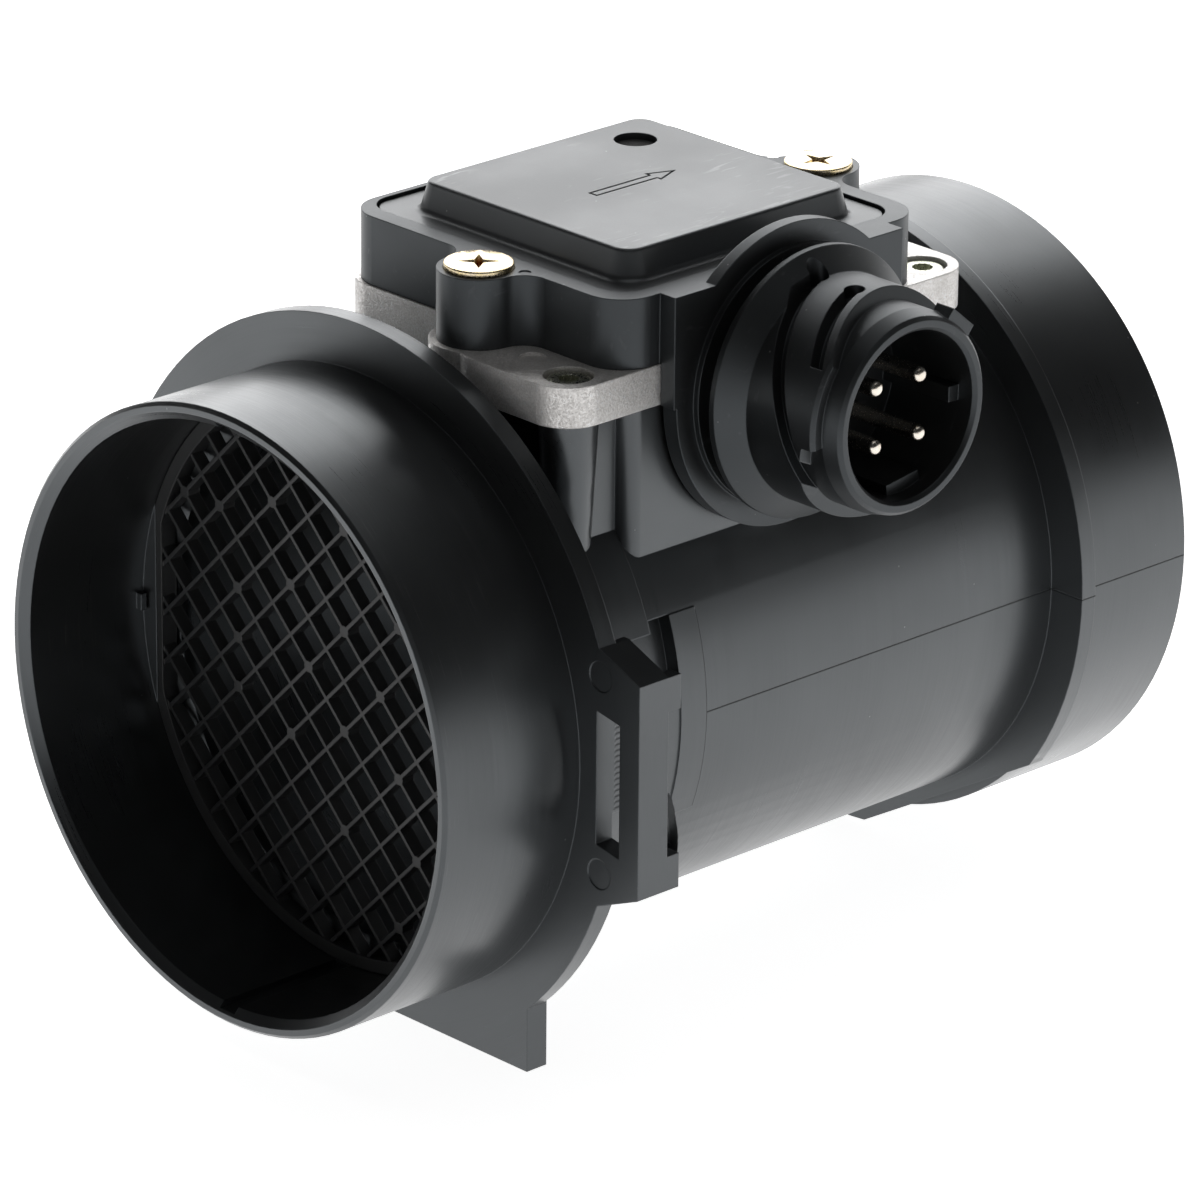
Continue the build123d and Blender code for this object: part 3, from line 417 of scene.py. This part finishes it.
class Recipe:
    """A node material on a Principled shader, with object coordinates in metres."""

    def __init__(self, name):
        self.material = bpy.data.materials.new(name)
        self.material.use_nodes = True
        self.tree = self.material.node_tree
        self.shader = self.tree.nodes["Principled BSDF"]
        self.place = self.node("ShaderNodeTexCoord").outputs["Object"]
        axes = self.node("ShaderNodeSeparateXYZ", Vector=self.place)
        self.x, self.y, self.z = axes.outputs

    def feed(self, socket, value):
        """Links a socket to another one, or sets its plain value."""
        if isinstance(value, bpy.types.NodeSocket):
            self.tree.links.new(value, socket)
        else:
            socket.default_value = value

    def node(self, kind, settings=None, **inputs):
        """A node with its settings and its inputs, whose names have _ for a space."""
        node = self.tree.nodes.new(kind)
        for key, value in (settings or {}).items():
            setattr(node, key, value)
        for key, value in inputs.items():
            self.feed(node.inputs[key.replace("_", " ")], value)
        return node

    def math(self, operation, first, second=0.0, clamp=False):
        """One operation on one or two values."""
        settings = {"operation": operation, "use_clamp": clamp}
        node = self.node("ShaderNodeMath", settings)
        self.feed(node.inputs[0], first)
        self.feed(node.inputs[1], second)
        return node.outputs[0]

    def product(self, *values):
        """All the values multiplied."""
        result = values[0]
        for value in values[1:]:
            result = self.math("MULTIPLY", result, value)
        return result

    def band(self, value, low, high, start=0.0, end=1.0):
        """Goes from start to end while value goes from low to high, and stays there."""
        settings = {"interpolation_type": "SMOOTHSTEP"}
        node = self.node("ShaderNodeMapRange", settings, Value=value)
        self.feed(node.inputs["From Min"], low)
        self.feed(node.inputs["From Max"], high)
        self.feed(node.inputs["To Min"], start)
        self.feed(node.inputs["To Max"], end)
        return node.outputs["Result"]

    def noise(self, scale, detail=4.0, vector=None, distortion=0.0):
        """Cloudy noise of 0 to 1, with scale cells to a metre."""
        vector = vector or self.place
        node = self.node(
            "ShaderNodeTexNoise", Vector=vector, Scale=scale, Detail=detail, Distortion=distortion
        )
        return node.outputs["Factor"] if "Factor" in node.outputs else node.outputs["Fac"]

    def stretched(self, x_scale, y_scale, z_scale):
        """Object coordinates stretched by axis, for streaks and brushed grain."""
        node = self.node("ShaderNodeVectorMath", {"operation": "MULTIPLY"})
        self.feed(node.inputs[0], self.place)
        self.feed(node.inputs[1], (x_scale, y_scale, z_scale))
        return node.outputs["Vector"]

    def round_duct(self, along, around):
        """Coordinates that run along the duct and around its axis."""
        angle = self.math("ARCTAN2", self.z, self.y)
        node = self.node("ShaderNodeCombineXYZ")
        self.feed(node.inputs[0], self.math("MULTIPLY", self.x, along))
        self.feed(node.inputs[1], self.math("MULTIPLY", angle, around))
        radius = self.math("POWER", self.y, 2.0)
        radius = self.math("ADD", radius, self.math("POWER", self.z, 2.0))
        radius = self.math("SQRT", radius)
        self.feed(node.inputs[2], self.math("MULTIPLY", radius, along))
        return node.outputs["Vector"]

    def specks(self, spacing, share, size):
        """Small dots, one in each cell of a share of the cells."""
        node = self.node("ShaderNodeTexVoronoi", Vector=self.place, Scale=1 / spacing)
        dot = self.band(node.outputs["Distance"], size, size * 0.5)
        chosen = self.node("ShaderNodeSeparateColor", Color=node.outputs["Color"])
        rare = self.math("LESS_THAN", chosen.outputs[0], share)
        return self.math("MULTIPLY", dot, rare)

    def mix(self, amount, first, second):
        """A colour between two colours."""
        node = self.node("ShaderNodeMix", {"data_type": "RGBA"})
        self.feed(node.inputs[0], amount)
        self.feed(node.inputs[6], first)
        self.feed(node.inputs[7], second)
        return node.outputs[2]

    def bump(self, height, depth, normal=None):
        """A normal from a height of 0 to 1 that stands depth metres high."""
        node = self.node("ShaderNodeBump", Height=height, Distance=depth, Strength=1.0)
        if normal is not None:
            self.feed(node.inputs["Normal"], normal)
        return node.outputs["Normal"]

    def rounded_edges(self, radius):
        """A normal that rounds sharp edges by radius."""
        node = self.node("ShaderNodeBevel", {"samples": bevel_samples}, Radius=radius)
        return node.outputs["Normal"]

    def finish(
        self, colour, roughness, normal=None, metal=0.0, gloss=0.5, skin=0.0, tint=white
    ):
        """Feeds the shader: gloss is its sheen, skin the weight of a smoother top layer."""
        self.feed(self.shader.inputs["Base Color"], colour)
        self.feed(self.shader.inputs["Roughness"], roughness)
        self.shader.inputs["Metallic"].default_value = metal
        self.shader.inputs["Specular IOR Level"].default_value = gloss
        self.shader.inputs["Coat Weight"].default_value = skin
        self.shader.inputs["Coat Roughness"].default_value = skin_roughness
        self.shader.inputs["Specular Tint"].default_value = tint
        if normal is not None:
            self.feed(self.shader.inputs["Normal"], normal)
        return self.material


def grey(level, warmth=0.0):
    """A grey, a little warmer or cooler."""
    return (level * (1 + warmth), level, level * (1 - warmth), 1)


def moulded(name, level, roughness, gloss, dust=0.03):
    """Glass-filled black plastic: fine moulded grain, faint flow clouds, dust specks."""
    recipe = Recipe(name)
    cloud = recipe.noise(scale=45, detail=5)
    grain = recipe.noise(scale=5200, detail=3)
    speck = recipe.specks(spacing=1.7 * mm, share=dust, size=0.1)
    colour = recipe.mix(cloud, grey(level * 0.8, -0.03), grey(level * 1.25, -0.01))
    colour = recipe.mix(recipe.product(speck, 0.6), colour, grey(0.3))
    rough = recipe.band(cloud, 0.3, 0.7, start=roughness - 0.05, end=roughness + 0.06)
    rough = recipe.math("ADD", rough, recipe.product(grain, 0.06))
    normal = recipe.bump(grain, 0.006 * mm, recipe.rounded_edges(plastic_edge_r))
    return recipe, colour, rough, normal, gloss


def mould_lines(recipe):
    """The parting line along the tube's front side and the slide's upright mark."""
    off_line = recipe.math("ABSOLUTE", recipe.z)
    line = recipe.band(off_line, *parting_half_width)
    line = recipe.product(line, recipe.band(recipe.x, slide_mark_x, slide_mark_x + parting_fade))
    off_mark = recipe.math("ABSOLUTE", recipe.math("SUBTRACT", recipe.x, slide_mark_x))
    mark = recipe.band(off_mark, *slide_mark_half_width)
    mark = recipe.product(mark, recipe.band(off_line, *slide_mark_half_height))
    outer = recipe.band(recipe.y, *parting_side_y)
    return recipe.product(recipe.math("MAXIMUM", line, mark), outer)


def duct_plastic():
    """The duct's plastic: fine rings near the inlet, mould lines and ribbed rests."""
    recipe, colour, rough, normal, gloss = moulded("duct plastic", 0.02, 0.32, 1.0)
    rings = recipe.noise(scale=1, detail=3, vector=recipe.round_duct(along=5200, around=2.5))
    wear = recipe.noise(scale=1, detail=4, vector=recipe.round_duct(along=60, around=5))
    near_inlet = recipe.band(recipe.x, inlet_length, 4 * mm)
    scratch = recipe.band(rings, 0.6, 0.72)
    scratch = recipe.product(scratch, recipe.band(wear, 0.45, 0.65), near_inlet)
    colour = recipe.mix(recipe.product(scratch, 0.35), colour, grey(0.16))
    rough = recipe.math("ADD", rough, recipe.product(recipe.math("SUBTRACT", rings, 0.5), 0.22))
    line = mould_lines(recipe)
    colour = recipe.mix(line, colour, grey(0.001))
    rough = recipe.math("ADD", rough, recipe.product(line, 0.6))
    normal = recipe.bump(recipe.math("SUBTRACT", 1.0, line), mould_line_depth, normal)
    ribs = recipe.math("SINE", recipe.math("MULTIPLY", recipe.z, 2 * pi / grip_rib_pitch))
    on_grip = recipe.product(
        recipe.band(recipe.x, *grip_start_x),
        recipe.band(recipe.x, *grip_end_x),
        recipe.band(recipe.y, *grip_near_y),
        recipe.band(recipe.y, *grip_far_y),
    )
    normal = recipe.bump(recipe.product(ribs, on_grip), grip_rib_height, normal)
    normal = recipe.bump(recipe.product(rings, near_inlet), 0.012 * mm, normal)
    return recipe.finish(colour, rough, normal, gloss=gloss, skin=0.5, tint=cool_sheen)


def housing_plastic():
    """The housing's darker plastic, with a few faint scuffs."""
    recipe, colour, rough, normal, gloss = moulded("housing plastic", 0.014, 0.36, 0.75, 0.05)
    scuff = recipe.noise(scale=1, detail=5, vector=recipe.stretched(260, 900, 500), distortion=0.6)
    scuff = recipe.band(scuff, 0.62, 0.74)
    colour = recipe.mix(recipe.product(scuff, 0.16), colour, grey(0.16))
    return recipe.finish(colour, rough, normal, gloss=gloss, tint=cool_sheen)


def lid_plastic():
    """The lid's matt plastic, its top scuffed by handling."""
    recipe, colour, rough, normal, gloss = moulded("lid plastic", 0.04, 0.42, 0.8, 0.08)
    streak = recipe.noise(scale=1, detail=6, vector=recipe.stretched(150, 700, 400), distortion=1.2)
    patch = recipe.noise(scale=70, detail=3)
    top = recipe.band(recipe.z, lid_top_z - 0.6 * mm, lid_top_z - 0.2 * mm)
    scuff = recipe.product(recipe.band(streak, 0.56, 0.7), recipe.band(patch, 0.45, 0.62), top)
    colour = recipe.mix(recipe.product(scuff, 0.35), colour, grey(0.22))
    rough = recipe.math("SUBTRACT", rough, recipe.product(scuff, 0.1))
    return recipe.finish(colour, rough, normal, gloss=gloss, skin=0.4, tint=cool_sheen)


def plain_plastic(name, level, roughness, gloss):
    """Moulded plastic with nothing more on it."""
    recipe, colour, rough, normal, gloss = moulded(name, level, roughness, gloss)
    return recipe.finish(colour, rough, normal, gloss=gloss)


def cast_aluminium():
    """Blasted die casting: coarse bright grain, with darker stains."""
    recipe = Recipe("cast aluminium")
    grain = recipe.noise(scale=3600, detail=4)
    cells = recipe.node("ShaderNodeTexVoronoi", Vector=recipe.place, Scale=4200.0)
    glint = recipe.node("ShaderNodeSeparateColor", Color=cells.outputs["Color"]).outputs[0]
    stain = recipe.noise(scale=160, detail=4)
    colour = recipe.mix(recipe.band(grain, 0.35, 0.65), grey(0.8, 0.03), grey(0.95, 0.02))
    colour = recipe.mix(recipe.band(stain, 0.55, 0.8, start=0, end=0.3), colour, grey(0.5, 0.06))
    colour = recipe.mix(recipe.band(glint, 0.93, 1.0), colour, grey(0.95))
    rough = recipe.band(glint, 0.0, 1.0, start=0.62, end=0.34)
    height = recipe.math("ADD", grain, recipe.product(glint, 0.5))
    normal = recipe.bump(height, 0.03 * mm, recipe.rounded_edges(cast_edge_r))
    return recipe.finish(colour, rough, normal, metal=0.6)


def painted_recess_shade_share(recipe):
    """How deep in a housing screw's cross recess a place lies, from 0 to 1, which is the weight of the
    painted shade there.
    """
    shallow, full = recess_shade_depth
    deep = recipe.band(recipe.z, screw_top_z - shallow, screw_top_z - full)
    along = recipe.math("ABSOLUTE", recipe.math("SUBTRACT", recipe.x, module_x))
    along = recipe.math("SUBTRACT", along, screw_half_x)
    across = recipe.math("SUBTRACT", recipe.y, screw_y)
    reach = recipe.math("SQRT", recipe.math(
        "ADD", recipe.math("POWER", along, 2.0), recipe.math("POWER", across, 2.0)
    ))
    return recipe.product(deep, recipe.band(reach, *recess_shade_r))


def plated(name, first, second, roughness, painted_shade_colour=None):
    """Metal plate whose tint shifts between two colours from place to place, with painted shade in the
    screws' cross recesses when a shade colour is given.
    """
    recipe = Recipe(name)
    tint = recipe.noise(scale=700, detail=3, distortion=1.0)
    fine = recipe.noise(scale=4200, detail=4)
    colour = recipe.mix(recipe.band(tint, 0.35, 0.65), first, second)
    rough = recipe.band(fine, 0.3, 0.7, start=roughness - 0.07, end=roughness + 0.08)
    # Painted shade: the cross recesses darken towards the shade colour the deeper they go
    if painted_shade_colour is not None:
        colour = recipe.mix(painted_recess_shade_share(recipe), colour, painted_shade_colour)
    normal = recipe.bump(fine, 0.012 * mm, recipe.rounded_edges(plated_edge_r))
    return recipe.finish(colour, rough, normal, metal=1.0)


def ceramic(name, colour):
    """Fired, slightly grainy ceramic."""
    recipe = Recipe(name)
    grain = recipe.noise(scale=3000, detail=4)
    darker = tuple(0.8 * part for part in colour[:3]) + (1,)
    mixed = recipe.mix(grain, darker, colour)
    rough = recipe.band(grain, 0, 1, start=0.35, end=0.55)
    return recipe.finish(mixed, rough, recipe.bump(grain, 0.01 * mm))


def rubber(name, level):
    """Matt rubber or resin."""
    recipe = Recipe(name)
    grain = recipe.noise(scale=2600, detail=5)
    colour = recipe.mix(grain, grey(level * 0.7), grey(level * 1.2))
    return recipe.finish(colour, 0.8, recipe.bump(grain, 0.03 * mm), gloss=0.3)


def fleece():
    """The vent membrane's felted fibres."""
    recipe = Recipe("vent fleece")
    fibres = recipe.noise(scale=1, detail=5, vector=recipe.stretched(1800, 6500, 1800), distortion=2.0)
    colour = recipe.mix(fibres, grey(0.03), grey(0.14))
    return recipe.finish(colour, 0.9, recipe.bump(fibres, 0.06 * mm), gloss=0.2)


def dress(material, *names):
    """Gives CAD nodes or new pieces a material."""
    for name in names:
        node = bpy.data.objects[name]
        node.data.materials.clear()
        node.data.materials.append(material)


def floor_paper():
    """White paper, lit from below too where the camera or a reflection sees it."""
    recipe = Recipe("floor paper")
    mottle = recipe.noise(scale=3, detail=2)
    dimmer = tuple(0.99 * part for part in floor_colour[:3]) + (1,)
    recipe.finish(recipe.mix(mottle, dimmer, floor_colour), 0.9, gloss=0.2)
    ray = recipe.node("ShaderNodeLightPath").outputs
    seen = recipe.math("ADD", ray["Is Camera Ray"], ray["Is Glossy Ray"])
    seen = recipe.math("ADD", seen, ray["Is Transmission Ray"], clamp=True)
    recipe.feed(recipe.shader.inputs["Emission Color"], white)
    recipe.feed(recipe.shader.inputs["Emission Strength"], recipe.product(seen, floor_glow))
    return recipe.material


def studio():
    """A white floor that meets a white horizon, a dim sky and two soft lamps."""
    scene = bpy.context.scene
    scene.view_settings.view_transform = "Standard"
    world = bpy.data.worlds.new("studio")
    scene.world = world
    world.use_nodes = True
    tree = world.node_tree
    place = tree.nodes.new("ShaderNodeTexCoord")
    height = tree.nodes.new("ShaderNodeSeparateXYZ")
    fade = tree.nodes.new("ShaderNodeMapRange")
    fade.interpolation_type = "SMOOTHSTEP"
    fade.inputs["From Min"].default_value = horizon_ends
    fade.inputs["From Max"].default_value = sky_starts
    fade.inputs["To Min"].default_value = horizon_brightness
    fade.inputs["To Max"].default_value = sky_brightness
    tree.links.new(place.outputs["Generated"], height.inputs[0])
    tree.links.new(height.outputs["Z"], fade.inputs["Value"])
    background = tree.nodes["Background"]
    background.inputs["Color"].default_value = white
    tree.links.new(fade.outputs["Result"], background.inputs["Strength"])
    half = floor_size / 2
    mesh = bpy.data.meshes.new("floor")
    corners = [(-half, -half, 0), (half, -half, 0), (half, half, 0), (-half, half, 0)]
    mesh.from_pydata(corners, [], [(0, 1, 2, 3)])
    floor = put("floor", mesh)
    floor.location.z = cad_box[0][2]
    mesh.materials.append(floor_paper())
    softbox(
        "back light", back_light_azimuth, back_light_elevation, back_light_distance,
        back_light_size, back_light_radiance,
    )
    softbox(
        "top light", top_light_azimuth, top_light_elevation, top_light_distance,
        top_light_size, top_light_radiance,
    )


set_camera()
studio()
duct = duct_with_clip_rests()
dress(duct_plastic(), duct.name)
dress(housing_plastic(), "electronics_housing")
dress(lid_plastic(), "lid")
dress(plain_plastic("grid plastic", level=0.05, roughness=0.4, gloss=0.5), "flow_grid")
dress(plain_plastic("sensor plastic", level=0.022, roughness=0.45, gloss=0.4), "sensor_body")
dress(cast_aluminium(), "base_plate")
screws = screws_with_cross_recess()
dress(plated("yellow zinc", gold_zinc, pale_gold_zinc, 0.24, painted_recess_shade_brown), screws.name)
dress(plated("pale zinc", green_zinc, pale_green_zinc, 0.3), "plate_screws")
tinned_brass = plated("tinned brass", tin, worn_tin, 0.2)
dress(tinned_brass, "terminal_1", "terminal_2", "terminal_3", "terminal_4")
dress(plated("lead wire", bright_wire, dull_wire, 0.25), "sensor_leads")
dress(rubber("gasket rubber", 0.03), "plate_gasket")
dress(rubber("sealant", 0.08), "housing_seal", "lid_seal")
dress(rubber("insulator resin", 0.1), "lead_insulator")
dress(fleece(), "vent_membrane")
dress(ceramic("board ceramic", board_white), "circuit_board")
dress(ceramic("element ceramic", element_white), "hot_film_element", "temperature_element")
dress(ceramic("capacitor ceramic", capacitor_brown), "capacitors")
dress(rubber("chip resin", 0.04), "control_chip", "output_transistor", "resistor_network")
